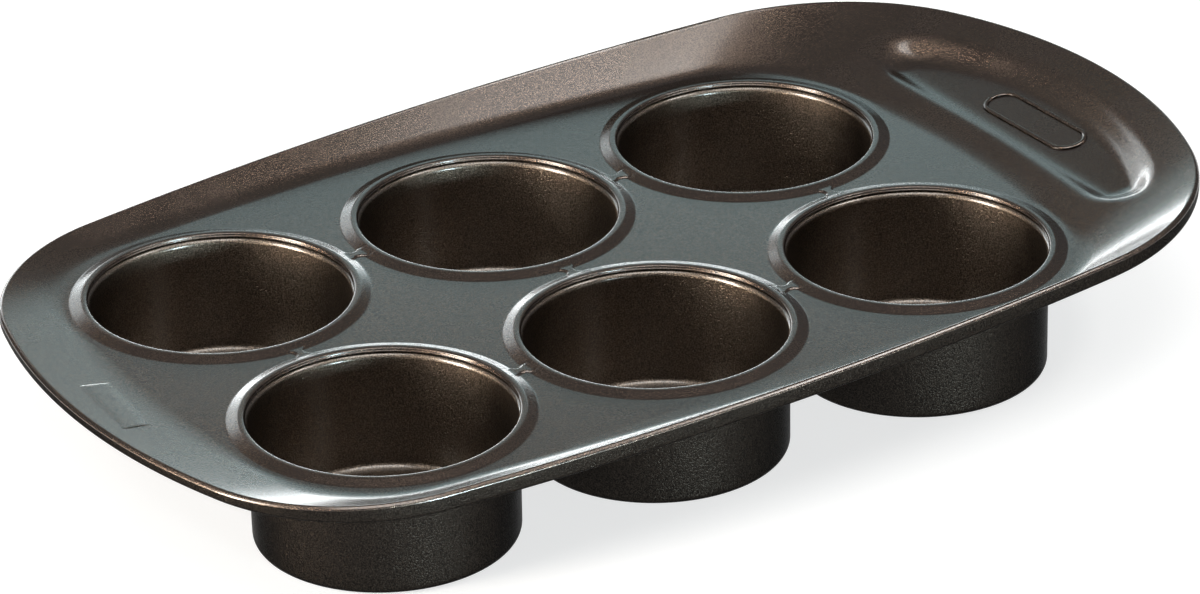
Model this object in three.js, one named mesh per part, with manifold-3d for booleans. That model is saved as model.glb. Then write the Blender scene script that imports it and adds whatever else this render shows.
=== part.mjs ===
// Six-cup muffin pan: a pressed tray with a rolled rim and a wide handle end, and six drawn
// cups seamed into its collars. Millimetres, +Z up, the cups stand on z = 0, +X points to the
// handle end, and the origin is under the middle of the pan.
import * as THREE from 'three';
import { ParametricGeometry } from 'three/addons/geometries/ParametricGeometry.js';
import { mergeVertices } from 'three/addons/utils/BufferGeometryUtils.js';
import Module from 'manifold-3d';

// Cups
const CUPS_PER_ROW = 3;
const CUP_ROWS = 2;
const CUP_HEIGHT = 33; // table to the crest of the lip
const MOUTH_RADIUS = 32.7; // inside, at the top of the wall
const BASE_RADIUS = 32.4; // inside, at the foot of the wall
const BASE_FILLET = 2.1; // outside corner between wall and base
const CUP_GAUGE = 0.5;
const LEDGE_WIDTH = 0.65; // step between the wall and the collar's neck
const SHOULDER_RADIUS = 1.2; // rounded edge from the ledge into the wall
const LIP_SPACING = 10.1; // between the lips of neighbouring cups

// Collars round the cup mouths
const TRAY_GAUGE = 0.5;
const COLLAR_HEIGHT = 1; // crest of the lip above the panel
const BEVEL_WIDTH = 3.7;
const LIP_BEND = 0.9; // outside radius of the lip
const NECK_DEPTH = 1.1;
const SEAM_CLEARANCE = 0.3;

// Low bridges pressed up between neighbouring collars
const BRIDGE_HEIGHT = 0.6;
const BRIDGE_WIDTH = 3.4;

// Flat panel, measured outwards from the collars
const END_MARGIN = 5.75;
const SIDE_MARGIN = 6.15;
const PANEL_END_RADIUS = 233;
const PANEL_SIDE_RADIUS = 873;
const PANEL_CORNER_RADIUS = 33;

// Flange, from the panel up to the crest of the rim
const PLAIN_FLANGE = 17.1; // width at the plain end
const HANDLE_FLANGE = 42.7; // width at the handle end
const SIDE_FLANGE = 10.5;
const PLAIN_RISE = 1.8; // crest of the rim above the panel at the plain end
const HANDLE_RISE = 11.8; // the same at the handle end
const FOOT_BLEND = 3.2; // half width of the soft bend at the flange's foot
const PLAIN_END_RADIUS = 187;
const HANDLE_END_RADIUS = 130;
const RIM_SIDE_RADIUS = 864;
const SIDE_BULGE_X = 12.6; // where the long sides bulge most, from the middle of the cups
const PLAIN_CORNER_RADIUS = 50.5;
const HANDLE_CORNER_RADIUS = 63;

// Thumb recess pressed into the handle end
const RECESS_START = 6.9; // its straight edge, from the flange's foot
const RECESS_LENGTH = 28; // straight edge to the middle of the curved edge
const RECESS_HALF_WIDTH = 57;
const RECESS_CURVE = 110; // radius of the curved edge
const RECESS_CORNER = 9;
const RECESS_WALL = 7; // width of its sloping sides
const RECESS_CREST = 5; // width of the level crest along the straight edge
const RECESS_FLOOR_SLOPE = 0.14;

// Rolled rim
const BEAD_RADIUS = 1.35;
const BEAD_END_FLAT = 0.35; // upright stretch on the outside of the roll, at the two ends
const BEAD_SIDE_FLAT = 2; // the same along the two sides

// Facets
const CUP_SIDES = 28;
const HANDLE_STEPS = 9;
const CORNER_STEPS = 6;
const SIDE_STEPS = 8;
const PLAIN_STEPS = 4;

const { PI } = Math;
const panelTop = CUP_HEIGHT - COLLAR_HEIGHT;
const neckInner = MOUTH_RADIUS + LEDGE_WIDTH;
const neckOuter = neckInner + TRAY_GAUGE;
const crestRadius = neckInner + LIP_BEND;
const collarFoot = crestRadius + BEVEL_WIDTH;
const collarEdge = collarFoot + TRAY_GAUGE; // where the collar runs out flat into the panel
const pitch = 2 * crestRadius + LIP_SPACING;
const panelLength = ((CUPS_PER_ROW - 1) / 2) * pitch + collarFoot + END_MARGIN;
const panelWidth = ((CUP_ROWS - 1) / 2) * pitch + collarFoot + SIDE_MARGIN;
const plainEnd = panelLength + PLAIN_FLANGE;
const handleEnd = panelLength + HANDLE_FLANGE;

const wasm = await Module();
wasm.setup();

const coating = () => new THREE.MeshStandardMaterial({ color: 0x3d322b, roughness: 0.35, metalness: 0.6 });

function toSolid(geometry) {
  const bare = geometry.clone();
  bare.deleteAttribute('normal');
  bare.deleteAttribute('uv');
  const welded = mergeVertices(bare, 1e-4);
  const vertProperties = new Float32Array(welded.attributes.position.array);
  const triVerts = new Uint32Array(welded.index.array);
  return new wasm.Manifold(new wasm.Mesh({ numProp: 3, vertProperties, triVerts }));
}

function toGeometry(solid) {
  const mesh = solid.getMesh();
  const geometry = new THREE.BufferGeometry();
  geometry.setAttribute('position', new THREE.BufferAttribute(mesh.vertProperties, 3));
  geometry.setIndex(new THREE.BufferAttribute(mesh.triVerts, 1));
  geometry.computeVertexNormals();
  return geometry;
}

function smoothStep(from, to, value) {
  return THREE.MathUtils.smoothstep(value, from, to);
}

// Points of an arc in the section plane, both ends included, angles in radians
function arc(x, z, radius, from, to, steps) {
  return Array.from({ length: steps + 1 }, (_, i) => {
    const angle = from + ((to - from) * i) / steps;
    return new THREE.Vector2(x + radius * Math.cos(angle), z + radius * Math.sin(angle));
  });
}

// A ring from a section that closes on itself, turned about Z
function revolve(profile) {
  return new THREE.LatheGeometry(profile, CUP_SIDES).rotateX(PI / 2);
}

// Centre of the arc that touches two larger arcs from the inside
function cornerCentre(first, second, radius, side) {
  const a = first.radius - radius;
  const b = second.radius - radius;
  const across = second.centre.clone().sub(first.centre);
  const d = across.length();
  const along = (d * d + a * a - b * b) / (2 * d);
  const height = Math.sqrt(a * a - along * along);
  across.divideScalar(d);
  const normal = new THREE.Vector2(-across.y, across.x).multiplyScalar(side * height);
  return first.centre.clone().addScaledVector(across, along).add(normal);
}

// Stations round an outline of tangent arcs, each with its point and outward normal. One half
// runs from the handle end over the +Y side to the plain end, and the other half mirrors it.
function outline({ handle, plain, width, handleRadius, plainRadius, sideRadius, bulge, corners }) {
  const handleArc = { centre: new THREE.Vector2(handle - handleRadius, 0), radius: handleRadius };
  const plainArc = { centre: new THREE.Vector2(plainRadius - plain, 0), radius: plainRadius };
  const sideArc = { centre: new THREE.Vector2(bulge, width - sideRadius), radius: sideRadius };
  const [handleCorner, plainCorner] = corners;
  const nearHandle = { centre: cornerCentre(handleArc, sideArc, handleCorner, 1), radius: handleCorner };
  const nearPlain = { centre: cornerCentre(plainArc, sideArc, plainCorner, -1), radius: plainCorner };
  const angle = (from, to) => to.centre.clone().sub(from.centre).angle();
  const turns = [
    0,
    angle(handleArc, nearHandle),
    angle(sideArc, nearHandle),
    angle(sideArc, nearPlain),
    angle(plainArc, nearPlain),
    PI,
  ];
  const arcs = [handleArc, nearHandle, sideArc, nearPlain, plainArc];
  const steps = [HANDLE_STEPS, CORNER_STEPS, SIDE_STEPS, CORNER_STEPS, PLAIN_STEPS];
  const half = [];
  arcs.forEach(({ centre, radius }, k) => {
    for (let i = 0; i < steps[k]; i += 1) {
      const turn = turns[k] + ((turns[k + 1] - turns[k]) * i) / steps[k];
      const normal = new THREE.Vector2(Math.cos(turn), Math.sin(turn));
      half.push({ point: centre.clone().addScaledVector(normal, radius), normal });
    }
  });
  const last = { point: new THREE.Vector2(-plain, 0), normal: new THREE.Vector2(-1, 0) };
  const mirror = ({ point, normal }) => ({
    point: new THREE.Vector2(point.x, -point.y),
    normal: new THREE.Vector2(normal.x, -normal.y),
  });
  return [...half, last, ...half.slice(1).reverse().map(mirror)];
}

const panelOutline = outline({
  handle: panelLength,
  plain: panelLength,
  width: panelWidth,
  handleRadius: PANEL_END_RADIUS,
  plainRadius: PANEL_END_RADIUS,
  sideRadius: PANEL_SIDE_RADIUS,
  bulge: 0,
  corners: [PANEL_CORNER_RADIUS, PANEL_CORNER_RADIUS],
});
const rimOutline = outline({
  handle: handleEnd,
  plain: plainEnd,
  width: panelWidth + SIDE_FLANGE,
  handleRadius: HANDLE_END_RADIUS,
  plainRadius: PLAIN_END_RADIUS,
  sideRadius: RIM_SIDE_RADIUS,
  bulge: SIDE_BULGE_X,
  corners: [HANDLE_CORNER_RADIUS, PLAIN_CORNER_RADIUS],
});

// Crest of the rim, which climbs evenly from the plain end to the handle end
function rimHeight(x) {
  const share = (x + plainEnd) / (plainEnd + handleEnd);
  return panelTop + PLAIN_RISE + (HANDLE_RISE - PLAIN_RISE) * share;
}

// Distance to the nearer of two edges, rounded where they meet
function roundedInside(first, second) {
  const reach = (distance) => Math.max(RECESS_CORNER - distance, 0);
  return RECESS_CORNER - Math.hypot(reach(first), reach(second));
}

// How far the thumb recess lowers the flange at a point whose plain height is given
function recessDrop(x, y, height) {
  const start = panelLength + RECESS_START;
  const centre = start + RECESS_LENGTH - RECESS_CURVE;
  const curvedEdge = RECESS_CURVE - Math.hypot(x - centre, y);
  const outer = roundedInside(curvedEdge, RECESS_HALF_WIDTH - Math.abs(y));
  const inside = roundedInside(outer, x - start + RECESS_WALL / 2);
  const edge = panelTop + (HANDLE_RISE * RECESS_START) / HANDLE_FLANGE;
  const floor = edge + RECESS_FLOOR_SLOPE * Math.max(x - start - RECESS_CREST, 0);
  return Math.max(height - floor, 0) * smoothStep(0, RECESS_WALL, inside);
}

// One closed section of flange and rolled rim at a station, as 3D points
function borderSection(foot, rim) {
  const across = rim.point.clone().sub(foot.point);
  const width = across.length();
  across.divideScalar(width);
  const crest = rimHeight(rim.point.x);
  const slope = (crest - panelTop) / width;
  const tilt = Math.atan(slope);
  const drop = TRAY_GAUGE / Math.cos(tilt);
  const flangePoint = (distance, depth) => {
    const x = foot.point.x + across.x * distance;
    const y = foot.point.y + across.y * distance;
    const bend = THREE.MathUtils.clamp(distance + FOOT_BLEND, 0, 2 * FOOT_BLEND);
    const rise = distance < FOOT_BLEND ? (slope * bend * bend) / (4 * FOOT_BLEND) : slope * distance;
    const height = panelTop + rise;
    return new THREE.Vector3(x, y, height - recessDrop(x, y, height) - depth);
  };
  const rollPoint = ({ x, y }) =>
    new THREE.Vector3(rim.point.x + rim.normal.x * x, rim.point.y + rim.normal.y * x, crest + y);
  const flat = BEAD_END_FLAT + (BEAD_SIDE_FLAT - BEAD_END_FLAT) * rim.normal.y ** 2;
  const upper = -BEAD_RADIUS;
  const lower = upper - flat;
  const inner = BEAD_RADIUS - TRAY_GAUGE;
  const recessEnd = RECESS_START + RECESS_LENGTH;
  const features = [RECESS_START, RECESS_START + RECESS_CREST, recessEnd - RECESS_WALL, recessEnd];
  const share = (feature) => (feature - FOOT_BLEND) / (HANDLE_FLANGE - FOOT_BLEND);
  const stops = features.map((feature) => FOOT_BLEND + share(feature) * (width - FOOT_BLEND));
  return [
    ...[-FOOT_BLEND, 0, FOOT_BLEND, ...stops].map((distance) => flangePoint(distance, 0)),
    ...arc(0, upper, BEAD_RADIUS, PI / 2 + tilt, 0, 3).map(rollPoint),
    ...arc(0, lower, BEAD_RADIUS, 0, -PI, 3).map(rollPoint),
    ...arc(0, lower, inner, -PI, 0, 3).map(rollPoint),
    ...arc(0, upper, inner, 0, PI / 2 + tilt, 2).map(rollPoint),
    ...[...stops.reverse(), FOOT_BLEND, 0].map((distance) => flangePoint(distance, drop)),
    flangePoint(-FOOT_BLEND, TRAY_GAUGE),
  ];
}

// A closed tube through one closed section for each station
function loft(sections) {
  const stations = sections.length;
  const points = sections[0].length;
  const surface = (u, v, target) => {
    const section = sections[Math.round(v * stations) % stations];
    target.copy(section[Math.round(u * points) % points]);
  };
  return new ParametricGeometry(surface, points, stations);
}

// Height of the collar's sloping top, and of its underside, at a radius
const bevelSlope = COLLAR_HEIGHT / BEVEL_WIDTH;
const bevelTop = (radius) => CUP_HEIGHT - bevelSlope * (radius - crestRadius);
const bevelDrop = TRAY_GAUGE * Math.hypot(1, bevelSlope);

function collar() {
  const bend = CUP_HEIGHT - LIP_BEND;
  const neckEnd = CUP_HEIGHT - NECK_DEPTH;
  const under = panelTop - TRAY_GAUGE;
  const profile = [
    new THREE.Vector2(collarEdge, panelTop),
    new THREE.Vector2(collarFoot, panelTop),
    ...arc(crestRadius, bend, LIP_BEND, PI / 2 - Math.atan(bevelSlope), PI, 3),
    new THREE.Vector2(neckInner, neckEnd),
    new THREE.Vector2(neckOuter, neckEnd),
    new THREE.Vector2(neckOuter, bevelTop(neckOuter) - bevelDrop),
    new THREE.Vector2(collarFoot, panelTop - bevelDrop),
    new THREE.Vector2(collarEdge, under),
  ];
  return revolve([...profile, profile[0].clone()]);
}

// The flat panel, open where the collars stand
function panelPlate(edge, centres) {
  const options = { depth: TRAY_GAUGE, bevelEnabled: false };
  const sheet = new THREE.ExtrudeGeometry(new THREE.Shape(edge), options);
  let solid = toSolid(sheet.translate(0, 0, panelTop - TRAY_GAUGE));
  centres.forEach(({ x, y }) => {
    const cut = new THREE.CylinderGeometry(collarEdge, collarEdge, 2 * TRAY_GAUGE, CUP_SIDES);
    solid = solid.subtract(toSolid(cut.rotateX(PI / 2).translate(x, y, panelTop - TRAY_GAUGE / 2)));
  });
  return solid;
}

// A low rounded bridge across the gap between two neighbouring collars, along X or turned along Y
function bridge(middle, alongY) {
  const half = BRIDGE_WIDTH / 2;
  const radius = (half * half + BRIDGE_HEIGHT * BRIDGE_HEIGHT) / (2 * BRIDGE_HEIGHT);
  const spread = Math.asin(half / radius);
  const crown = arc(0, BRIDGE_HEIGHT - radius, radius, PI / 2 - spread, PI / 2 + spread, 4);
  const root = [new THREE.Vector2(-half, -TRAY_GAUGE / 2), new THREE.Vector2(half, -TRAY_GAUGE / 2)];
  const overlap = BRIDGE_HEIGHT / bevelSlope;
  const length = pitch - 2 * collarFoot + 2 * overlap;
  const bar = new THREE.ExtrudeGeometry(new THREE.Shape([...crown, ...root]), { depth: length, bevelEnabled: false });
  bar.translate(0, 0, -length / 2).rotateX(PI / 2).rotateZ(alongY ? 0 : PI / 2);
  return toSolid(bar.translate(middle.x, middle.y, panelTop));
}

function makeTray(centres) {
  const sections = rimOutline.map((rim, i) => borderSection(panelOutline[i], rim));
  const panelEdge = sections.map(([{ x, y }]) => new THREE.Vector2(x, y));
  let solid = toSolid(loft(sections)).add(panelPlate(panelEdge, centres));
  centres.forEach(({ x, y }) => {
    solid = solid.add(toSolid(collar().translate(x, y, 0)));
    if (x < ((CUPS_PER_ROW - 1) / 2) * pitch) solid = solid.add(bridge({ x: x + pitch / 2, y }, false));
    if (y < ((CUP_ROWS - 1) / 2) * pitch) solid = solid.add(bridge({ x, y: y + pitch / 2 }, true));
  });
  return new THREE.Mesh(toGeometry(solid), coating());
}

// A drawn cup whose turned-up edge hooks round the collar's neck
function cupGeometry() {
  const ledge = CUP_HEIGHT - NECK_DEPTH - SEAM_CLEARANCE;
  const hookInner = neckOuter + SEAM_CLEARANCE;
  const hookOuter = hookInner + CUP_GAUGE;
  const hookTop = bevelTop(hookOuter) - bevelDrop - SEAM_CLEARANCE;
  const wallTop = ledge - SHOULDER_RADIUS;
  const outerBase = BASE_RADIUS + CUP_GAUGE;
  const outerMouth = MOUTH_RADIUS + CUP_GAUGE;
  const innerFillet = BASE_FILLET - CUP_GAUGE;
  const bendRadius = SHOULDER_RADIUS - CUP_GAUGE;
  const shoulder = MOUTH_RADIUS + SHOULDER_RADIUS;
  const profile = [
    new THREE.Vector2(0, 0),
    ...arc(outerBase - BASE_FILLET, BASE_FILLET, BASE_FILLET, -PI / 2, 0, 3),
    new THREE.Vector2(outerMouth, wallTop),
    ...arc(shoulder, wallTop, bendRadius, PI, PI / 2, 1).slice(1),
    new THREE.Vector2(hookOuter, ledge - CUP_GAUGE),
    new THREE.Vector2(hookOuter, hookTop),
    new THREE.Vector2(hookInner, hookTop),
    new THREE.Vector2(hookInner, ledge),
    ...arc(shoulder, wallTop, SHOULDER_RADIUS, PI / 2, PI, 3),
    ...arc(BASE_RADIUS - innerFillet, BASE_FILLET, innerFillet, 0, -PI / 2, 2),
    new THREE.Vector2(0, CUP_GAUGE),
  ];
  return revolve(profile);
}

function makePan() {
  const pan = new THREE.Group();
  pan.position.x = (plainEnd - handleEnd) / 2;
  const rows = ['front', 'back'];
  const places = ['plain_end', 'middle', 'handle_end'];
  const cups = rows.flatMap((row, j) => places.map((place, i) => ({
    name: `cup_${row}_${place}`,
    x: (i - (CUPS_PER_ROW - 1) / 2) * pitch,
    y: (j - (CUP_ROWS - 1) / 2) * pitch,
  })));
  const tray = makeTray(cups);
  tray.name = 'tray';
  pan.add(tray);
  cups.forEach(({ name, x, y }) => {
    const cup = new THREE.Mesh(toGeometry(toSolid(cupGeometry())), coating());
    cup.name = name;
    cup.position.set(x, y, 0);
    pan.add(cup);
  });
  return pan;
}

export default makePan();
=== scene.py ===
# Looks of the six-cup muffin pan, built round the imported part. Shapes are worked out in millimetres
# about the middle of the six cups and moved into the part's frame, in metres, as they become meshes.
import math

import bpy
import numpy as np
from mathutils import Matrix, Vector
from mathutils.bvhtree import BVHTree
from mathutils.geometry import delaunay_2d_cdt


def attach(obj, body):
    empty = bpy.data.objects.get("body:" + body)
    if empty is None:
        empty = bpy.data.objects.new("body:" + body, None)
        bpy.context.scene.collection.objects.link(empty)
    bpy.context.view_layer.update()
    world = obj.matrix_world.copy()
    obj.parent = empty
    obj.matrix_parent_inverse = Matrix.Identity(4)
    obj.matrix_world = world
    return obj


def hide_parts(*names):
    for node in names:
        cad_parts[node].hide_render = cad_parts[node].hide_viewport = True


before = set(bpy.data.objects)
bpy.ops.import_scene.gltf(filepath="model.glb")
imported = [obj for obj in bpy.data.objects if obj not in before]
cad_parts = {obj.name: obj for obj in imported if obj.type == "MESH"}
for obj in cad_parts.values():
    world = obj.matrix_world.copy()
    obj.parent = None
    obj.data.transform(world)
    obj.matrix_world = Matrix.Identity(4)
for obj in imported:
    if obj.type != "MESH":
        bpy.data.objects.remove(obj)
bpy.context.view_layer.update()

MM = 0.001
QUARTER = math.pi / 2

# Camera, fitted to the rims of the cups: angles in radians, aim in millimetres, distance in metres
CAMERA_AZIMUTH = -0.55619
CAMERA_ELEVATION = 0.46294
CAMERA_ROLL = -0.027413
CAMERA_AIM = (-15.585, -18.22, 33.0)
CAMERA_DISTANCE = 1.7364
CAMERA_LENS = 209.34

# Cups
CUP_ROWS = ("front", "back")
CUP_PLACES = ("plain_end", "middle", "handle_end")
CUP_HEIGHT = 33.0
MOUTH_RADIUS = 32.7
BASE_RADIUS = 32.4
BASE_FILLET = 2.1
GAUGE = 0.5
LEDGE_WIDTH = 0.65
SHOULDER_RADIUS = 1.4
LIP_SPACING = 10.1

# Collars round the cup mouths: the bevel, the lip, and the thin hem that turns down inside it
COLLAR_HEIGHT = 1.0
COLLAR_RUN_OUT = 0.9
COLLAR_FOOT_INSET = 0.1
COLLAR_SOFT_FOOT = 0.36
BEVEL_WIDTH = 3.7
BEVEL_UPRIGHT_GAUGE = 1.04 * GAUGE
LIP_BEND = 0.9
LIP_FLAT = 0.35
LIP_ROUNDING = 0.85
LIP_EDGE = 0.42
LIP_DIP = 0.3
LIP_GAP = 0.06
HEM_RADIUS = 0.2
HEM_START = 0.62 * math.pi
HEM_STOP = 1.5 * math.pi
HEM_BAND = 0.6
HEM_GAUGE = 0.12
NECK_DEPTH = 1.1
SEAM_CLEARANCE = 0.3

# Low waisted bridges between neighbouring collars
BRIDGE_HEIGHT = 0.42
BRIDGE_WIDTH = 2.3
BRIDGE_FLARE = 0.6
BRIDGE_FLARE_REACH = 1.3
BRIDGE_SOFT_SIDE = 0.35
BRIDGE_FULL = 1.2
BRIDGE_END = 3.0
BRIDGE_BLEND = 0.06
BRIDGE_LEAST = 0.002

# Flat panel
END_MARGIN = 5.75
SIDE_MARGIN = 7.75
PANEL_END_RADIUS = 233.0
PANEL_SIDE_RADIUS = 873.0
PANEL_CORNER_RADIUS = 33.0

# Flange and rolled rim
PLAIN_FLANGE = 17.3
HANDLE_FLANGE = 42.9
SIDE_FLANGE = 9.1
PLAIN_RISE = 1.95
HANDLE_RISE = 11.95
FOOT_BLEND = 3.2
FOOT_CLEARANCE = 0.3
PLAIN_END_RADIUS = 187.2
HANDLE_END_RADIUS = 130.2
RIM_SIDE_RADIUS = 864.2
SIDE_BULGE_X = 12.6
PLAIN_CORNER_RADIUS = 50.7
HANDLE_CORNER_RADIUS = 63.2
BEAD_RADIUS = 1.0
BEAD_FACE = 0.32
BEAD_FACE_ANGLE = math.radians(47)
BEAD_END_FLAT = 1.15
BEAD_SIDE_FLAT = 2.9

# Thumb recess
RECESS_START = 6.9
RECESS_LENGTH = 28.0
RECESS_HALF_WIDTH = 61.0
RECESS_CURVE = 110.0
RECESS_WALL = 7.0
RECESS_END_WALL = 15.5
RECESS_STRAIGHT = 49.0
RECESS_CHAMFER = 14.0
RECESS_CREST = 5.0
RECESS_CREST_SOFT = 0.8
RECESS_FLOOR_SLOPE = 0.15
RECESS_SOFT = 0.06

# Bare raised outline on the handle end
BADGE_CENTRE = np.array([142.6, -1.2])
BADGE_LENGTH = 36.5
BADGE_WIDTH = 9.6
BADGE_SKEW = 0.02
BADGE_RELIEF = 0.6
BADGE_HALF_LINE = 0.7

# Bare pad on the plain end; its edges are shares of its length and width
PAD_CORNERS = np.array([[-123.4, 12.9], [-126.4, -13.3], [-134.4, 14.6], [-136.6, -12.9]])
PAD_RELIEF = 0.1
PAD_SINK = 0.3
PAD_EDGE = 0.025
PAD_SIDE_EDGE = 0.4

# Where the painted shade begins (a far darker copy of the coating on outer faces and undersides), by reach
# from a cup's axis in metres and by a face's direction
RIM_REACH = 0.04
RIM_FACE_TILT = 0.3
OUTWARD_REACH = 0.001
UNDERSIDE_TILT = -0.5

# Finish: relief of the metal flakes in metres, and the satin of the clear coat
TRAY_FLAKE_DEPTH = 0.00017
CUP_FLAKE_DEPTH = 0.0002
COAT_ROUGHNESS = 0.2
COAT_IOR = 1.72
PATCH_ROUGHNESS = (-0.04, 0.06)

# Stage, in metres
FLOOR_GAP = 0.0003
FLOOR_REACH = 6.0
FLOOR_GLOW = 0.7
LAMP_AIM_HEIGHT = 0.03

# Fineness of the meshes
OUTLINE_STEPS = (48, 30, 56, 30, 26)
FOOT_ROWS = 9
FOOT_STEP = 0.06
FOOT_TRIES = 60
FOOT_AVERAGE = 4
FLANGE_ROWS = 34
CORNER_ROWS = 7
FACE_ROWS = 5
ROLL_ROWS = 13
COLLAR_SAMPLES = 400
COLLAR_FOOT_BAND = 0.6
COLLAR_LIP_BAND = 1.5
COARSE_TURN = 2.5
FINE_TURN = 0.25
FINE_SPAN = 4.0
PANEL_SPACING = 4.0
PANEL_ROW_SPACING = 0.866 * PANEL_SPACING
PANEL_COLLAR_CLEARANCE = 1.5
PANEL_EDGE_CLEARANCE = 1.6
PANEL_JOIN = 1e-6
BADGE_CAP_POINTS = 25
BADGE_SIDE_POINTS = 16
BADGE_LINE_SIDES = 12
PAD_EDGE_ROWS = 6
PAD_ROWS = 24
PAD_COLUMNS = 13
ABOVE_ALL = 100.0
CUP_SIDES = 144
FLOOR_POINTS = 25
SHARP_ANGLE = math.radians(42)

panel_top = CUP_HEIGHT - COLLAR_HEIGHT
neck_inner = MOUTH_RADIUS + LEDGE_WIDTH
neck_outer = neck_inner + GAUGE
crest_radius = neck_inner + LIP_BEND
collar_foot = crest_radius + BEVEL_WIDTH
collar_run_out = collar_foot + COLLAR_RUN_OUT
bevel_slope = COLLAR_HEIGHT / BEVEL_WIDTH
pitch = 2 * crest_radius + LIP_SPACING
panel_length = (len(CUP_PLACES) - 1) / 2 * pitch + collar_foot + END_MARGIN
panel_width = (len(CUP_ROWS) - 1) / 2 * pitch + collar_foot + SIDE_MARGIN
plain_end = panel_length + PLAIN_FLANGE
handle_end = panel_length + HANDLE_FLANGE
shift = np.array([(plain_end - handle_end) / 2, 0.0, 0.0])


def place_camera():
    flat = math.cos(CAMERA_ELEVATION)
    back = Vector((
        math.sin(CAMERA_AZIMUTH) * flat, -math.cos(CAMERA_AZIMUTH) * flat, math.sin(CAMERA_ELEVATION)))
    right = Vector((math.cos(CAMERA_AZIMUTH), math.sin(CAMERA_AZIMUTH), 0))
    up = back.cross(right)
    turned_right = right * math.cos(CAMERA_ROLL) + up * math.sin(CAMERA_ROLL)
    turned_up = up * math.cos(CAMERA_ROLL) - right * math.sin(CAMERA_ROLL)
    data = bpy.data.cameras.new("photo_camera")
    data.sensor_width = 36
    data.lens = CAMERA_LENS
    data.clip_start = 0.05
    data.clip_end = 50
    camera = bpy.data.objects.new("photo_camera", data)
    matrix = Matrix((turned_right, turned_up, back)).transposed().to_4x4()
    matrix.translation = Vector(CAMERA_AIM) * MM + back * CAMERA_DISTANCE
    camera.matrix_world = matrix
    bpy.context.scene.collection.objects.link(camera)
    bpy.context.scene.camera = camera


# Sections and outlines

def arc(x, z, radius, start, stop, steps):
    angle = np.linspace(start, stop, steps + 1)
    return np.column_stack([x + radius * np.cos(angle), z + radius * np.sin(angle)])


def smooth_step(low, high, value):
    share = np.clip((value - low) / (high - low), 0, 1)
    return share * share * (3 - 2 * share)


def soft_positive(value, softness):
    return softness * np.logaddexp(0, value / softness)


def smooth_max(first, second, softness):
    return (first + second + np.sqrt((first - second) ** 2 + softness * softness) - softness) / 2


def corner_centre(first, second, radius, side):
    """Centre of a corner arc that runs tangent inside two larger arcs, each given as centre and radius."""
    reach_1 = first[1] - radius
    reach_2 = second[1] - radius
    across = second[0] - first[0]
    gap = np.hypot(*across)
    along = (gap * gap + reach_1 * reach_1 - reach_2 * reach_2) / (2 * gap)
    height = math.sqrt(reach_1 * reach_1 - along * along)
    across = across / gap
    normal = np.array([-across[1], across[0]]) * side * height
    return first[0] + across * along + normal


def outline(handle, plain, width, handle_radius, plain_radius, side_radius, bulge, corners):
    """Points and outward normals round an outline of tangent arcs, from the handle end over the +Y side."""
    handle_arc = (np.array([handle - handle_radius, 0]), handle_radius)
    plain_arc = (np.array([plain_radius - plain, 0]), plain_radius)
    side_arc = (np.array([bulge, width - side_radius]), side_radius)
    near_handle = (corner_centre(handle_arc, side_arc, corners[0], 1), corners[0])
    near_plain = (corner_centre(plain_arc, side_arc, corners[1], -1), corners[1])

    def turn(start, stop):
        across = stop[0] - start[0]
        return math.atan2(across[1], across[0])

    turns = [
        0,
        turn(handle_arc, near_handle),
        turn(side_arc, near_handle),
        turn(side_arc, near_plain),
        turn(plain_arc, near_plain),
        math.pi,
    ]
    arcs = (handle_arc, near_handle, side_arc, near_plain, plain_arc)
    points = []
    normals = []
    for k, (centre, radius) in enumerate(arcs):
        angle = np.linspace(turns[k], turns[k + 1], OUTLINE_STEPS[k] + 1)[:-1]
        normal = np.column_stack([np.cos(angle), np.sin(angle)])
        points.append(centre + radius * normal)
        normals.append(normal)
    points = np.vstack(points + [[[-plain, 0]]])
    normals = np.vstack(normals + [[[-1, 0]]])
    mirror = np.array([1, -1])
    points = np.vstack([points, points[-2:0:-1] * mirror])
    normals = np.vstack([normals, normals[-2:0:-1] * mirror])
    return points, normals


def find_cups():
    """The place of each cup's axis, by the cup's name."""
    spots = {}
    for j, row in enumerate(CUP_ROWS):
        for i, place in enumerate(CUP_PLACES):
            x = (i - (len(CUP_PLACES) - 1) / 2) * pitch
            y = (j - (len(CUP_ROWS) - 1) / 2) * pitch
            spots[f"{row}_{place}"] = np.array([x, y])
    return spots


cups = find_cups()
centres = list(cups.values())
panel_points, _ = outline(
    panel_length, panel_length, panel_width, PANEL_END_RADIUS, PANEL_END_RADIUS,
    PANEL_SIDE_RADIUS, 0, (PANEL_CORNER_RADIUS, PANEL_CORNER_RADIUS))
rim_points, rim_normals = outline(
    handle_end, plain_end, panel_width + SIDE_FLANGE, HANDLE_END_RADIUS, PLAIN_END_RADIUS,
    RIM_SIDE_RADIUS, SIDE_BULGE_X, (HANDLE_CORNER_RADIUS, PLAIN_CORNER_RADIUS))


# Flange and rim

def rim_height(x):
    share = (x + plain_end) / (plain_end + handle_end)
    return panel_top + PLAIN_RISE + (HANDLE_RISE - PLAIN_RISE) * share


def recess_drop(x, y, height):
    """How far the thumb recess lowers the flange at a point whose plain height is given."""
    start = panel_length + RECESS_START
    centre = start + RECESS_LENGTH - RECESS_CURVE
    insets = (
        (RECESS_CURVE - np.hypot(x - centre, y)) / RECESS_WALL,
        (RECESS_HALF_WIDTH - np.abs(y)) / RECESS_END_WALL,
        (x - start) / RECESS_WALL + 0.5,
        (x - start + RECESS_STRAIGHT - np.abs(y)) / RECESS_CHAMFER + 0.5,
    )
    short = np.sqrt(sum(np.maximum(1 - inset, 0) ** 2 for inset in insets))
    edge = panel_top + HANDLE_RISE * RECESS_START / HANDLE_FLANGE
    floor = edge + RECESS_FLOOR_SLOPE * soft_positive(x - start - RECESS_CREST, RECESS_CREST_SOFT)
    return soft_positive(height - floor, RECESS_SOFT) * smooth_step(0, 1, 1 - short)


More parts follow.
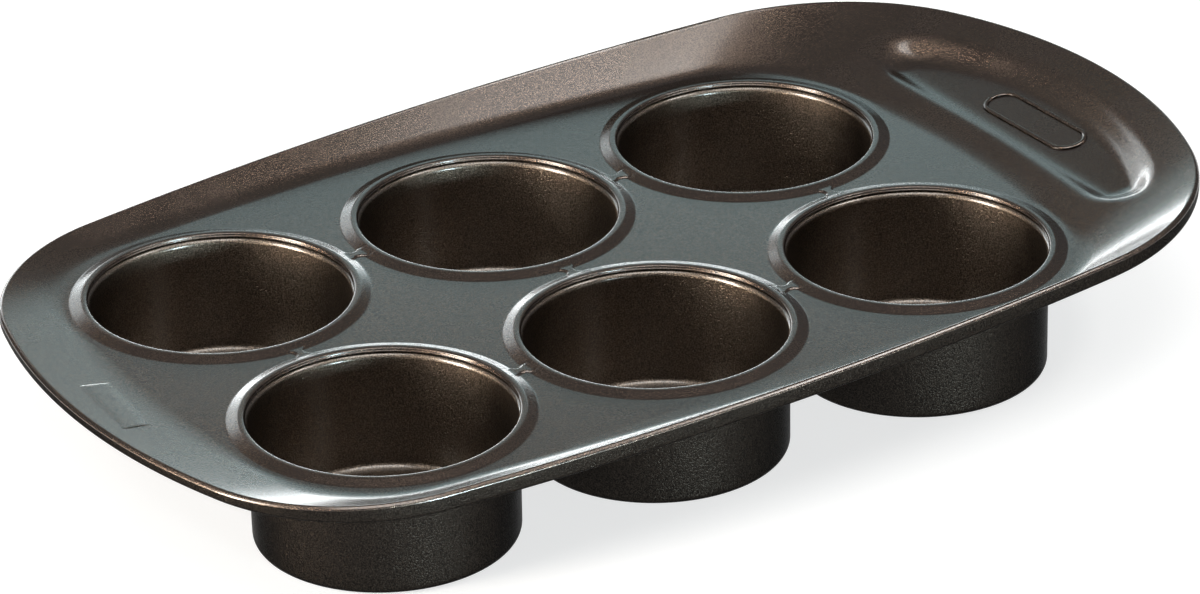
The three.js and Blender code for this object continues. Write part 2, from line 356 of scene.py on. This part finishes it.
def foot_reach(across):
    """How far the bend at the flange's foot reaches inwards: less where a collar stands close by."""
    reach = np.full(len(across), FOOT_BLEND)
    for _ in range(FOOT_TRIES):
        plan = panel_points - across * reach[:, None]
        gap = np.min([np.hypot(*(plan - centre).T) for centre in centres], axis=0)
        reach = np.where(gap < collar_run_out + FOOT_CLEARANCE, reach - FOOT_STEP, reach)
    near = [np.roll(reach, k) for k in range(-FOOT_AVERAGE, FOOT_AVERAGE + 1)]
    return np.minimum(np.mean(near, axis=0), reach)


def flange_ring(across, slope, reach, distance):
    """A ring of points on the flange's face at a distance outwards from its foot."""
    plan = panel_points + across * distance[:, None]
    length = reach + FOOT_BLEND
    t = np.clip((distance + reach) / length, 0, 1)
    curved = slope * (FOOT_BLEND * (3 - 2 * t) + length * (t - 1)) * t * t
    height = panel_top + np.where(distance < FOOT_BLEND, curved, slope * distance)
    height = height - recess_drop(plan[:, 0], plan[:, 1], height)
    return np.column_stack([plan, height])


def roll_ring(height, out, radius, angle):
    """A ring on an arc of the rolled rim, whose centre lies at a height and a little out from the rim."""
    angle = np.broadcast_to(angle, len(rim_points))
    plan = rim_points + rim_normals * (out + radius * np.cos(angle))[:, None]
    return np.column_stack([plan, height + radius * np.sin(angle)])


def border_rings():
    """Rings of the flange and the rolled rim, from the flat panel to the roll's hidden edge."""
    across = rim_points - panel_points
    width = np.hypot(across[:, 0], across[:, 1])
    across = across / width[:, None]
    crest = rim_height(rim_points[:, 0])
    slope = (crest - panel_top) / width
    tilt = np.arctan(slope)
    reach = foot_reach(across)
    rings = []
    for share in np.linspace(0, 1, FOOT_ROWS):
        rings.append(flange_ring(across, slope, reach, share * (reach + FOOT_BLEND) - reach))
    corner = BEAD_RADIUS - BEAD_FACE * math.sin(BEAD_FACE_ANGLE)
    drop = BEAD_FACE * math.cos(BEAD_FACE_ANGLE)
    straight = width - corner * np.sin(tilt)
    for share in np.linspace(0, 1, FLANGE_ROWS)[1:-1]:
        rings.append(flange_ring(across, slope, reach, FOOT_BLEND + share * (straight - FOOT_BLEND)))
    upper = crest - corner / np.cos(tilt) - drop
    lower = upper - (BEAD_END_FLAT + (BEAD_SIDE_FLAT - BEAD_END_FLAT) * rim_normals[:, 1] ** 2)
    for share in np.linspace(1, 0, CORNER_ROWS):
        turned = BEAD_FACE_ANGLE + (QUARTER + tilt - BEAD_FACE_ANGLE) * share
        rings.append(roll_ring(upper + drop, 0, corner, turned))
    for share in np.linspace(1, 0, FACE_ROWS):
        rings.append(roll_ring(upper, BEAD_RADIUS - corner, corner, BEAD_FACE_ANGLE * share))
    for share in np.linspace(0, 1, ROLL_ROWS):
        rings.append(roll_ring(lower, 0, BEAD_RADIUS, -math.pi * share))
    return rings


# Collars and bridges

def neighbours():
    """Pairs of cups that stand side by side, along or across the pan."""
    steps = ([pitch, 0], [0, pitch])
    for first in centres:
        for second in centres:
            if any(np.allclose(second - first, step) for step in steps):
                yield first, second


def bridge_rise(x, y):
    """Height above the panel of the waisted bridges between neighbouring collars."""
    rise = np.zeros_like(x)
    gap = pitch / 2 - collar_foot
    for first, second in neighbours():
        middle = (first + second) / 2
        along = (second - first) / pitch
        u = np.abs((x - middle[0]) * along[0] + (y - middle[1]) * along[1])
        w = np.abs((y - middle[1]) * along[0] - (x - middle[0]) * along[1])
        edge = BRIDGE_WIDTH / 2 + BRIDGE_FLARE * np.minimum(u / gap, BRIDGE_FLARE_REACH) ** 2
        ridge = BRIDGE_HEIGHT * smooth_step(edge + BRIDGE_SOFT_SIDE, edge - BRIDGE_SOFT_SIDE, w)
        rise = np.maximum(rise, ridge * smooth_step(gap + BRIDGE_END, gap + BRIDGE_FULL, u))
    return rise


def collar_profile():
    """Radius and height from the panel over the lip to the hem under it."""
    fine = np.linspace(crest_radius, collar_run_out, COLLAR_SAMPLES)
    foot = collar_foot - COLLAR_FOOT_INSET
    lip_start = crest_radius + LIP_FLAT
    steep = smooth_step(lip_start, lip_start + LIP_ROUNDING, fine)
    steep = steep * smooth_step(foot + COLLAR_SOFT_FOOT, foot - COLLAR_SOFT_FOOT, fine)
    fall = np.concatenate([[0], np.cumsum((steep[1:] + steep[:-1]) / 2)])
    height = CUP_HEIGHT - COLLAR_HEIGHT * fall / fall[-1]
    low_band = foot - COLLAR_FOOT_BAND
    high_band = crest_radius + COLLAR_LIP_BAND
    radius = np.concatenate([
        np.linspace(collar_run_out, low_band, 9),
        np.linspace(low_band, high_band, 4)[1:-1],
        np.linspace(high_band, crest_radius, 10)[:-1],
    ])
    bevel = np.column_stack([radius, np.interp(radius, fine, height)])
    inner = neck_inner + LIP_GAP
    start = inner + LIP_EDGE * (1 - math.sin(LIP_DIP))
    inward = np.linspace(crest_radius, start, 6)
    dip = LIP_DIP * (crest_radius - inward) ** 2 / (2 * (crest_radius - start))
    crown = np.column_stack([inward, CUP_HEIGHT - dip])
    low = crown[-1, 1] - LIP_EDGE * math.cos(LIP_DIP)
    edge = arc(inner + LIP_EDGE, low, LIP_EDGE, QUARTER + LIP_DIP, math.pi, 7)
    hem = arc(inner, CUP_HEIGHT - NECK_DEPTH + HEM_RADIUS, HEM_RADIUS, HEM_START, HEM_STOP, 7)
    return np.vstack([bevel, crown, edge[1:], hem])


def collar_angles():
    """Turns round a collar, finer where the bridges meet it."""
    coarse = np.arange(0, 360, COARSE_TURN)
    steps = np.arange(-FINE_SPAN, FINE_SPAN + FINE_TURN / 2, FINE_TURN)
    fine = [turn + step for turn in (0, 90, 180, 270) for step in steps]
    keep = [turn for turn in coarse if abs((turn + 45) % 90 - 45) > FINE_SPAN]
    return np.radians(np.sort(np.concatenate([keep, fine])))


# Meshes

def grid_faces(rings):
    """Quads between rings of vertex numbers, each ring closed on itself."""
    faces = []
    for first, second in zip(rings[:-1], rings[1:]):
        faces.append(np.column_stack([first, np.roll(first, -1), np.roll(second, -1), second]))
    return np.vstack(faces).tolist()


def patch_faces(rows, columns):
    """Quads of an open grid of points that are numbered row after row."""
    starts = [j * columns + i for j in range(rows - 1) for i in range(columns - 1)]
    return [[a, a + 1, a + columns + 1, a + columns] for a in starts]


def panel_spots(border):
    """Points of a triangle grid on the flat, clear of its border and of the collars."""
    ahead = np.roll(border, -1, 0) - border
    spots = []
    for j, y in enumerate(np.arange(-panel_width, panel_width, PANEL_ROW_SPACING)):
        for x in np.arange(-panel_length, panel_length, PANEL_SPACING) + (j % 2) * PANEL_SPACING / 2:
            spot = np.array([x, y])
            away = spot - border
            within = (ahead[:, 0] * away[:, 1] - ahead[:, 1] * away[:, 0]).min() > 0
            inner = np.hypot(*away.T).min() > PANEL_EDGE_CLEARANCE
            nearest = min(np.hypot(*(centre - spot)) for centre in centres)
            if within and inner and nearest > collar_run_out + PANEL_COLLAR_CLEARANCE:
                spots.append(spot)
    return np.array(spots)


def panel_fill(edge, rims, points):
    """New points and faces that fill the flat between the border's first ring and the collars' rings."""
    loops = [edge] + rims
    order = np.concatenate(loops)
    links = []
    start = 0
    for loop in loops:
        count = len(loop)
        links += [(start + i, start + (i + 1) % count) for i in range(count)]
        start += count
    spots = panel_spots(points[edge][:, :2])
    plan = [Vector(spot) for spot in np.vstack([points[order][:, :2], spots])]
    _, _, faces, origins, _, _ = delaunay_2d_cdt(plan, links, [], 0, PANEL_JOIN, True)
    number = []
    for source in origins:
        k = source[0]
        number.append(int(order[k]) if k < len(order) else len(points) + k - len(order))
    ring_of = {int(v): n for n, rim in enumerate(rims) for v in rim}
    kept = []
    for face in faces:
        corners = [number[v] for v in face]
        owners = {ring_of.get(v, -1) for v in corners}
        if len(owners) > 1 or -1 in owners:
            kept.append(corners)
    return np.column_stack([spots, np.full(len(spots), panel_top)]), kept


def vertex_normals(points, faces):
    normals = np.zeros_like(points)
    for size in (3, 4):
        corners = np.array([face for face in faces if len(face) == size]).T
        first = points[corners[size - 2]] - points[corners[0]]
        second = points[corners[size - 1]] - points[corners[size - 3]]
        cross = np.cross(first, second)
        for corner in corners:
            np.add.at(normals, corner, cross)
    return normals / np.linalg.norm(normals, axis=1, keepdims=True)


def thicken(points, faces, edges, gauge):
    """Gives a face-up sheet its gauge downwards and closes it along the given edge rings."""
    count = len(points)
    under = points - gauge[:, None] * vertex_normals(points, faces)
    closed = list(faces) + [[v + count for v in reversed(face)] for face in faces]
    for ring in edges:
        after = np.roll(ring, -1)
        closed += np.column_stack([after, ring, ring + count, after + count]).tolist()
    return np.vstack([points, under]), closed


def make_piece(name, points, faces, *materials):
    mesh = bpy.data.meshes.new(name)
    mesh.from_pydata(((points + shift) * MM).tolist(), [], faces)
    mesh.polygons.foreach_set("use_smooth", [True] * len(mesh.polygons))
    mesh.set_sharp_from_angle(angle=SHARP_ANGLE)
    for material in materials:
        mesh.materials.append(material)
    mesh.update()
    piece = bpy.data.objects.new(name, mesh)
    bpy.context.scene.collection.objects.link(piece)
    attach(piece, "root")
    return piece


# Tray

def collar_rings(centre, profile, angles):
    """Points of one collar, ring after ring, raised where the bridges run into it."""
    rings = []
    for radius, height in profile:
        x = centre[0] + radius * np.cos(angles)
        y = centre[1] + radius * np.sin(angles)
        z = np.full(len(angles), height)
        if radius > crest_radius:
            rise = bridge_rise(x, y)
            raised = smooth_max(z - panel_top, rise, BRIDGE_BLEND)
            z = panel_top + np.where(rise > BRIDGE_LEAST, raised, z - panel_top)
        rings.append(np.column_stack([x, y, z]))
    return np.vstack(rings)


def tray_sheet():
    """The tray's upper face as points and faces, with its edge rings and the gauge at each point."""
    border = border_rings()
    stations = len(border[0])
    points = [np.vstack(border)]
    rings = [np.arange(stations) + stations * i for i in range(len(border))]
    faces = grid_faces(rings[::-1])
    edges = [rings[-1][::-1]]
    start = stations * len(border)
    angles = collar_angles()
    profile = collar_profile()
    rims = []
    for centre in centres:
        points.append(collar_rings(centre, profile, angles))
        loops = [start + len(angles) * i + np.arange(len(angles)) for i in range(len(profile))]
        faces += grid_faces(loops)
        rims.append(loops[0])
        edges.append(loops[-1])
        start += len(angles) * len(profile)
    points = np.vstack(points)
    inner, fill = panel_fill(rings[0], rims, points)
    inner[:, 2] += bridge_rise(inner[:, 0], inner[:, 1])
    points = np.vstack([points, inner])
    gauge = np.full(len(points), GAUGE)
    for centre in centres:
        radius = np.hypot(points[:, 0] - centre[0], points[:, 1] - centre[1])
        gauge = np.where(radius < crest_radius - HEM_BAND, HEM_GAUGE, gauge)
    return points, faces + fill, edges, gauge


def drop_onto(surface, spot):
    hit, _, _, _ = surface.ray_cast(Vector((*spot, ABOVE_ALL)), Vector((0, 0, -1)))
    return hit[2]


def raised_outline(surface):
    """A bare raised outline on the floor of the thumb recess: a closed half-sunk bead round a stadium."""
    half_width = BADGE_WIDTH / 2
    straight = BADGE_LENGTH / 2 - half_width
    turn = np.linspace(0, math.pi, BADGE_CAP_POINTS)
    cap = np.column_stack([np.cos(turn), np.sin(turn)]) * half_width + [0, straight]
    down = np.linspace(straight, -straight, BADGE_SIDE_POINTS + 2)[1:-1]
    side = np.column_stack([np.full(BADGE_SIDE_POINTS, -half_width), down])
    path = np.vstack([cap, side, -cap, -side])
    ahead = np.roll(path, -1, 0) - np.roll(path, 1, 0)
    ahead = ahead / np.hypot(*ahead.T)[:, None]
    out = np.column_stack([ahead[:, 1], -ahead[:, 0]])
    tilt = np.array([[1, BADGE_SKEW], [-BADGE_SKEW, 1]])
    rings = []
    for k in range(BADGE_LINE_SIDES):
        angle = 2 * math.pi * k / BADGE_LINE_SIDES
        plan = (path + out * BADGE_HALF_LINE * math.cos(angle)) @ tilt + BADGE_CENTRE
        height = np.array([drop_onto(surface, spot) for spot in plan])
        rings.append(np.column_stack([plan, height + BADGE_RELIEF * math.sin(angle)]))
    loops = [np.arange(len(path)) + len(path) * k for k in range(BADGE_LINE_SIDES)]
    return np.vstack(rings), grid_faces(loops + loops[:1])


def label_pad(surface):
    """A bare, barely raised pad across the plain end's flange, closed underneath."""
    fine = np.linspace(0, PAD_EDGE, PAD_EDGE_ROWS)
    middle = np.linspace(PAD_EDGE, 1 - PAD_EDGE, PAD_ROWS)[1:-1]
    along = np.concatenate([fine, middle, 1 - fine[::-1]])
    points = []
    for place in along:
        foot = PAD_CORNERS[0] + (PAD_CORNERS[1] - PAD_CORNERS[0]) * place
        rim = PAD_CORNERS[2] + (PAD_CORNERS[3] - PAD_CORNERS[2]) * place
        end_lift = smooth_step(0, PAD_EDGE, min(place, 1 - place))
        for share in np.linspace(0, 1, PAD_COLUMNS):
            spot = foot + (rim - foot) * share
            lift = end_lift * smooth_step(0, PAD_SIDE_EDGE, min(share, 1 - share))
            height = drop_onto(surface, spot) + PAD_RELIEF * ((1 + PAD_SINK) * lift - PAD_SINK)
            points.append([*spot, height])
    points = np.array(points)
    rows = len(along)
    size = len(points)
    faces = patch_faces(rows, PAD_COLUMNS)
    faces += [[v + size for v in reversed(face)] for face in faces]
    around = np.concatenate([
        np.arange(rows - 1) * PAD_COLUMNS,
        np.arange((rows - 1) * PAD_COLUMNS, rows * PAD_COLUMNS - 1),
        np.arange(rows, 1, -1) * PAD_COLUMNS - 1,
        np.arange(PAD_COLUMNS - 1, 0, -1),
    ])
    after = np.roll(around, -1)
    faces += np.column_stack([around, after, after + size, around + size]).tolist()
    return np.vstack([points, points - [0, 0, PAD_RELIEF]]), faces


def with_marks(points, faces, sheet, sheet_faces):
    """Adds the raised outline and the pad to the tray's closed sheet."""
    surface = BVHTree.FromPolygons([Vector(spot) for spot in sheet], sheet_faces)
    for extra, extra_faces in (raised_outline(surface), label_pad(surface)):
        start = len(points)
        points = np.vstack([points, extra])
        faces = faces + [[v + start for v in face] for face in extra_faces]
    return points, faces


def paint_tray_outside_shade(mesh, under_faces):
    """Gives the tray's underside and the outer face of its rolled rim a far darker copy of the coating,
    which paints shade on them.
    """
    axes = [(centre + shift[:2]) * MM for centre in centres]
    for face in mesh.polygons:
        at_rim = min(math.dist(face.center[:2], axis) for axis in axes) > RIM_REACH
        face.material_index = int(face.index in under_faces or (at_rim and face.normal[2] < RIM_FACE_TILT))


# Cups

def cup_profile():
    """Radius and height round a cup's section: base, outer wall, hook behind the neck, and the inside."""
    ledge = CUP_HEIGHT - NECK_DEPTH - SEAM_CLEARANCE
    hook_inner = neck_outer + SEAM_CLEARANCE
    hook_outer = hook_inner + GAUGE
    bevel_top = CUP_HEIGHT - bevel_slope * (hook_outer - crest_radius)
    hook_top = bevel_top - BEVEL_UPRIGHT_GAUGE - SEAM_CLEARANCE
    wall_top = ledge - SHOULDER_RADIUS
    outer_base = BASE_RADIUS + GAUGE
    inner_fillet = BASE_FILLET - GAUGE
    shoulder = MOUTH_RADIUS + SHOULDER_RADIUS
    heights = np.linspace(BASE_FILLET, wall_top, 9)[1:-1]
    share = (heights - BASE_FILLET) / (wall_top - BASE_FILLET)
    wall = BASE_RADIUS + (MOUTH_RADIUS - BASE_RADIUS) * share
    base = np.linspace(3, outer_base - BASE_FILLET - 2, 7)
    return np.vstack([
        [[0, 0]],
        np.column_stack([base, np.zeros_like(base)]),
        arc(outer_base - BASE_FILLET, BASE_FILLET, BASE_FILLET, -QUARTER, 0, 10),
        np.column_stack([wall + GAUGE, heights]),
        arc(shoulder, wall_top, SHOULDER_RADIUS - GAUGE, math.pi, QUARTER, 6),
        arc(hook_outer - GAUGE, ledge, GAUGE, -QUARTER, 0, 4),
        [[hook_outer, hook_top], [hook_inner, hook_top], [hook_inner, ledge]],
        arc(shoulder, wall_top, SHOULDER_RADIUS, QUARTER, math.pi, 10),
        np.column_stack([wall, heights])[::-1],
        arc(BASE_RADIUS - inner_fillet, BASE_FILLET, inner_fillet, 0, -QUARTER, 10),
        np.column_stack([base, np.full_like(base, GAUGE)])[::-1],
        [[0, GAUGE]],
    ])


def lathe(profile, sides):
    """Turns a profile that begins and ends on the axis into points and faces."""
    angle = np.linspace(0, 2 * math.pi, sides, endpoint=False)
    rings = []
    points = [np.array([[0, 0, profile[0][1]]])]
    for k, (radius, height) in enumerate(profile[1:-1]):
        level = np.full(sides, height)
        points.append(np.column_stack([radius * np.cos(angle), radius * np.sin(angle), level]))
        rings.append(1 + k * sides + np.arange(sides))
    points.append(np.array([[0, 0, profile[-1][1]]]))
    last = 1 + len(rings) * sides
    faces = grid_faces(rings)
    faces += [[0, int(b), int(a)] for a, b in zip(rings[0], np.roll(rings[0], -1))]
    faces += [[last, int(a), int(b)] for a, b in zip(rings[-1], np.roll(rings[-1], -1))]
    return np.vstack(points), faces


def paint_outside_shade(mesh, centre):
    """Gives the faces that look away from the cup's axis, and its underside, a far darker copy of the
    coating, which paints shade on them.
    """
    axis = (centre + shift[:2]) * MM
    for face in mesh.polygons:
        away = (face.center[0] - axis[0]) * face.normal[0] + (face.center[1] - axis[1]) * face.normal[1]
        face.material_index = int(away > OUTWARD_REACH or face.normal[2] < UNDERSIDE_TILT)


# Materials

def grain_group():
    """Fine metal flakes and slow patches of the baked-on coating."""
    group = bpy.data.node_groups.new("coating_grain", "ShaderNodeTree")
    for name in ("Flakes", "Patches", "Height"):
        group.interface.new_socket(name, in_out="OUTPUT", socket_type="NodeSocketFloat")
    nodes = group.nodes
    links = group.links
    where = nodes.new("ShaderNodeTexCoord")
    fine = nodes.new("ShaderNodeTexNoise")
    fine.inputs["Scale"].default_value = 2700
    fine.inputs["Detail"].default_value = 1.5
    fine.inputs["Roughness"].default_value = 0.6
    slow = nodes.new("ShaderNodeTexNoise")
    slow.inputs["Scale"].default_value = 45
    slow.inputs["Detail"].default_value = 4
    spread = nodes.new("ShaderNodeMapRange")
    spread.inputs["From Min"].default_value = 0.36
    spread.inputs["From Max"].default_value = 0.72
    mottle = nodes.new("ShaderNodeMapRange")
    mottle.inputs["From Min"].default_value = 0.35
    mottle.inputs["From Max"].default_value = 0.65
    out = nodes.new("NodeGroupOutput")
    links.new(where.outputs["Object"], fine.inputs["Vector"])
    links.new(where.outputs["Object"], slow.inputs["Vector"])
    links.new(fine.outputs["Fac"], spread.inputs["Value"])
    links.new(slow.outputs["Fac"], mottle.inputs["Value"])
    links.new(spread.outputs["Result"], out.inputs["Flakes"])
    links.new(mottle.outputs["Result"], out.inputs["Patches"])
    links.new(fine.outputs["Fac"], out.inputs["Height"])
    return group


def coating(name, group, dark, bright, roughness, depth, coat):
    """Metal flakes between a dark and a bright tone, under a clear coat of the given weight."""
    material = bpy.data.materials.new(name)
    material.use_nodes = True
    nodes = material.node_tree.nodes
    links = material.node_tree.links
    shader = nodes["Principled BSDF"]
    flakes = nodes.new("ShaderNodeGroup")
    flakes.node_tree = group
    tone = nodes.new("ShaderNodeMix")
    tone.data_type = "RGBA"
    tone.inputs["A"].default_value = (*dark, 1)
    tone.inputs["B"].default_value = (*bright, 1)
    rough = nodes.new("ShaderNodeMapRange")
    rough.inputs["To Min"].default_value = roughness + PATCH_ROUGHNESS[0]
    rough.inputs["To Max"].default_value = roughness + PATCH_ROUGHNESS[1]
    bump = nodes.new("ShaderNodeBump")
    bump.inputs["Strength"].default_value = 1
    bump.inputs["Distance"].default_value = depth
    shader.inputs["Metallic"].default_value = 1
    shader.inputs["Coat Weight"].default_value = coat
    shader.inputs["Coat Roughness"].default_value = COAT_ROUGHNESS
    shader.inputs["Coat IOR"].default_value = COAT_IOR
    shader.inputs["Specular IOR Level"].default_value = 0.1
    shader.inputs["Specular Tint"].default_value = (0.3, 0.3, 0.3, 1)
    links.new(flakes.outputs["Flakes"], tone.inputs["Factor"])
    links.new(tone.outputs["Result"], shader.inputs["Base Color"])
    links.new(flakes.outputs["Patches"], rough.inputs["Value"])
    links.new(rough.outputs["Result"], shader.inputs["Roughness"])
    links.new(flakes.outputs["Height"], bump.inputs["Height"])
    links.new(bump.outputs["Normal"], shader.inputs["Normal"])
    return material


def floor_material():
    """A pale floor, clear from below; part of its white shows only to the camera and in reflections."""
    material = bpy.data.materials.new("pale_floor")
    material.use_nodes = True
    nodes = material.node_tree.nodes
    links = material.node_tree.links
    shader = nodes["Principled BSDF"]
    noise = nodes.new("ShaderNodeTexNoise")
    noise.inputs["Scale"].default_value = 3
    tone = nodes.new("ShaderNodeMix")
    tone.data_type = "RGBA"
    tone.inputs["A"].default_value = (0.41, 0.41, 0.41, 1)
    tone.inputs["B"].default_value = (0.43, 0.43, 0.43, 1)
    path = nodes.new("ShaderNodeLightPath")
    side = nodes.new("ShaderNodeNewGeometry")
    front = nodes.new("ShaderNodeMath")
    front.operation = "SUBTRACT"
    front.inputs[0].default_value = 1
    seen = nodes.new("ShaderNodeMath")
    seen.operation = "MAXIMUM"
    mirrored = nodes.new("ShaderNodeMath")
    mirrored.operation = "MAXIMUM"
    glow = nodes.new("ShaderNodeMath")
    glow.operation = "MULTIPLY"
    glow.inputs[1].default_value = FLOOR_GLOW
    shader.inputs["Roughness"].default_value = 0.9
    shader.inputs["Specular IOR Level"].default_value = 0.1
    shader.inputs["Emission Color"].default_value = (1, 1, 1, 1)
    links.new(noise.outputs["Fac"], tone.inputs["Factor"])
    links.new(tone.outputs["Result"], shader.inputs["Base Color"])
    links.new(side.outputs["Backfacing"], front.inputs[1])
    links.new(front.outputs["Value"], shader.inputs["Alpha"])
    links.new(path.outputs["Is Glossy Ray"], mirrored.inputs[0])
    links.new(path.outputs["Is Transmission Ray"], mirrored.inputs[1])
    links.new(path.outputs["Is Camera Ray"], seen.inputs[0])
    links.new(mirrored.outputs["Value"], seen.inputs[1])
    links.new(seen.outputs["Value"], glow.inputs[0])
    links.new(glow.outputs["Value"], shader.inputs["Emission Strength"])
    return material


# Stage

def softbox(name, azimuth, elevation, distance, width, height, radiance, tint):
    """A soft lamp that faces the pan; angles in degrees, lengths in metres, brightness as radiance."""
    data = bpy.data.lights.new(name, "AREA")
    data.shape = "RECTANGLE"
    data.size = width
    data.size_y = height
    data.energy = radiance * math.pi * width * height
    data.color = tint
    lamp = bpy.data.objects.new(name, data)
    turn = math.radians(azimuth)
    rise = math.radians(elevation)
    flat = math.cos(rise)
    toward = Vector((math.cos(turn) * flat, math.sin(turn) * flat, math.sin(rise)))
    lamp.location = toward * distance + Vector((0, 0, LAMP_AIM_HEIGHT))
    lamp.rotation_euler = toward.to_track_quat("Z", "Y").to_euler()
    lamp.visible_camera = False
    bpy.context.scene.collection.objects.link(lamp)


def make_world():
    """A dim surround, darker at the level of the floor than overhead."""
    world = bpy.data.worlds.new("studio")
    world.use_nodes = True
    nodes = world.node_tree.nodes
    links = world.node_tree.links
    back = nodes["Background"]
    where = nodes.new("ShaderNodeTexCoord")
    split = nodes.new("ShaderNodeSeparateXYZ")
    ramp = nodes.new("ShaderNodeValToRGB")
    low, high = ramp.color_ramp.elements
    low.position = 0.0
    low.color = (0.075, 0.082, 0.09, 1)
    high.position = 0.5
    high.color = (0.22, 0.203, 0.195, 1)
    links.new(where.outputs["Generated"], split.inputs["Vector"])
    links.new(split.outputs["Z"], ramp.inputs["Fac"])
    links.new(ramp.outputs["Color"], back.inputs["Color"])
    bpy.context.scene.world = world


def make_floor():
    mesh = bpy.data.meshes.new("pale_floor")
    steps = np.linspace(-FLOOR_REACH, FLOOR_REACH, FLOOR_POINTS)
    points = [(x, y, -FLOOR_GAP) for y in steps for x in steps]
    mesh.from_pydata(points, [], patch_faces(FLOOR_POINTS, FLOOR_POINTS))
    mesh.materials.append(floor_material())
    floor = bpy.data.objects.new("pale_floor", mesh)
    bpy.context.scene.collection.objects.link(floor)


def light_stage():
    make_world()
    make_floor()
    softbox("back_softbox", 57, 18.6, 1.5, 0.56, 0.5, 0.94, (0.66, 0.96, 1.0))
    softbox("back_left_softbox", 85, 18.6, 1.5, 0.62, 0.5, 2.2, (0.87, 0.97, 1.0))
    softbox("back_step_softbox", 66, 11.4, 1.5, 1.0, 0.13, 1.55, (0.9, 0.98, 1.0))
    softbox("back_low_softbox", 72, 4.8, 1.5, 1.3, 0.22, 7.8, (0.95, 0.99, 1.0))
    softbox("right_softbox", -34, 63, 1.3, 0.4, 0.3, 2.2, (1.0, 0.98, 0.95))
    softbox("right_strip_softbox", -40, 50, 1.3, 0.5, 0.18, 13.2, (1.0, 0.98, 0.95))
    softbox("top_softbox", -115, 68, 1.3, 0.8, 0.8, 3.9, (1.0, 0.98, 0.95))
    softbox("left_softbox", 175, 22, 1.3, 0.5, 0.7, 16.5, (1.0, 0.95, 0.87))
    softbox("side_softbox", 172, 4, 1.3, 0.25, 0.2, 74, (1.0, 0.84, 0.67))
    softbox("front_softbox", -88, 3.2, 1.3, 0.25, 0.13, 190, (0.7, 0.92, 1.0))


place_camera()
bpy.context.scene.view_settings.view_transform = "Standard"
grain = grain_group()
tray_coating = coating(
    "tray_coating", grain, dark=(0.039, 0.0276, 0.021), bright=(0.158, 0.113, 0.086),
    roughness=0.25, depth=TRAY_FLAKE_DEPTH, coat=1.0)
# Cup insides: the tray's coating in a brighter tone; the flakes are the coating's own, the added brightness
# is painted light on the lit insides
cup_inside_painted_light = coating(
    "cup_inside_coating", grain, dark=(0.056, 0.0436, 0.0333), bright=(0.242, 0.189, 0.145),
    roughness=0.32, depth=CUP_FLAKE_DEPTH, coat=1.0)
# Outer faces and undersides: the same coating in a far darker tone, painted shade standing in for the dark
# surroundings these faces reflect
outside_painted_shade = coating(
    "outside_painted_shade", grain, dark=(0.0056, 0.0046, 0.0038), bright=(0.031, 0.0254, 0.0206),
    roughness=0.33, depth=CUP_FLAKE_DEPTH, coat=0.06)

sheet, sheet_faces, edges, gauge = tray_sheet()
points, faces = thicken(sheet, sheet_faces, edges, gauge)
under_faces = range(len(sheet_faces), len(faces))
points, faces = with_marks(points, faces, sheet, sheet_faces)
tray = make_piece("pressed_tray", points, faces, tray_coating, outside_painted_shade)
paint_tray_outside_shade(tray.data, under_faces)
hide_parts("tray")

cup_points, cup_faces = lathe(cup_profile(), CUP_SIDES)
for place, centre in cups.items():
    moved = cup_points + np.array([*centre, 0])
    cup = make_piece(f"drawn_cup_{place}", moved, cup_faces, cup_inside_painted_light, outside_painted_shade)
    paint_outside_shade(cup.data, centre)
    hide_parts(f"cup_{place}")

light_stage()
